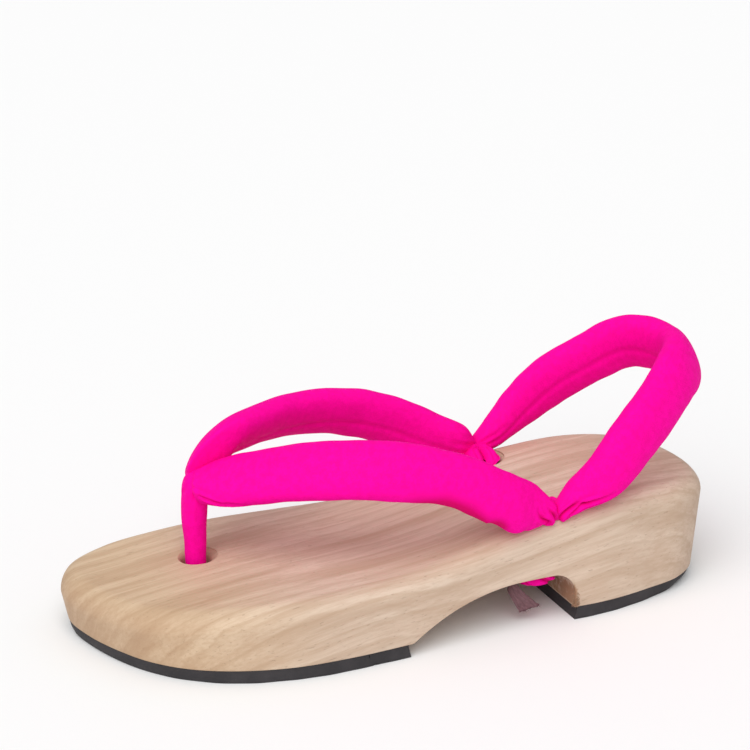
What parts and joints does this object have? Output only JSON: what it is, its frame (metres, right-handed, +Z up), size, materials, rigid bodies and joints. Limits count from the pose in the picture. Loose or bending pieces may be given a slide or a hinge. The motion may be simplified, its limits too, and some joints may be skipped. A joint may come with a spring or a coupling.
{
  "type": "geta sandal",
  "caption": "Left wooden sandal with a raised heel, arch and rubber treads, a padded thong strap on a toe loop, and a padded strap round the heel.",
  "frame": {"origin": "on the floor, under the middle of the sandal's bounding box", "axes": "+Y from toe to heel, +X to the outer (lateral) side of the left foot, +Z up"},
  "size_m": [0.094, 0.245, 0.0967],
  "materials": {
    "wood": "satin",
    "rubber": "matte",
    "strap_fabric": "matte",
    "tie_cord": "matte"
  },
  "bodies": {
    "root": {"wood_base": "wood", "front_tread": "rubber", "heel_tread": "rubber", "thong_strap": "strap_fabric", "heel_strap": "strap_fabric", "front_knot": "strap_fabric", "rear_knot_lateral": "strap_fabric", "rear_knot_medial": "strap_fabric", "tie_cord_lateral": "tie_cord", "tie_cord_medial": "tie_cord"}
  },
  "joints": []
}
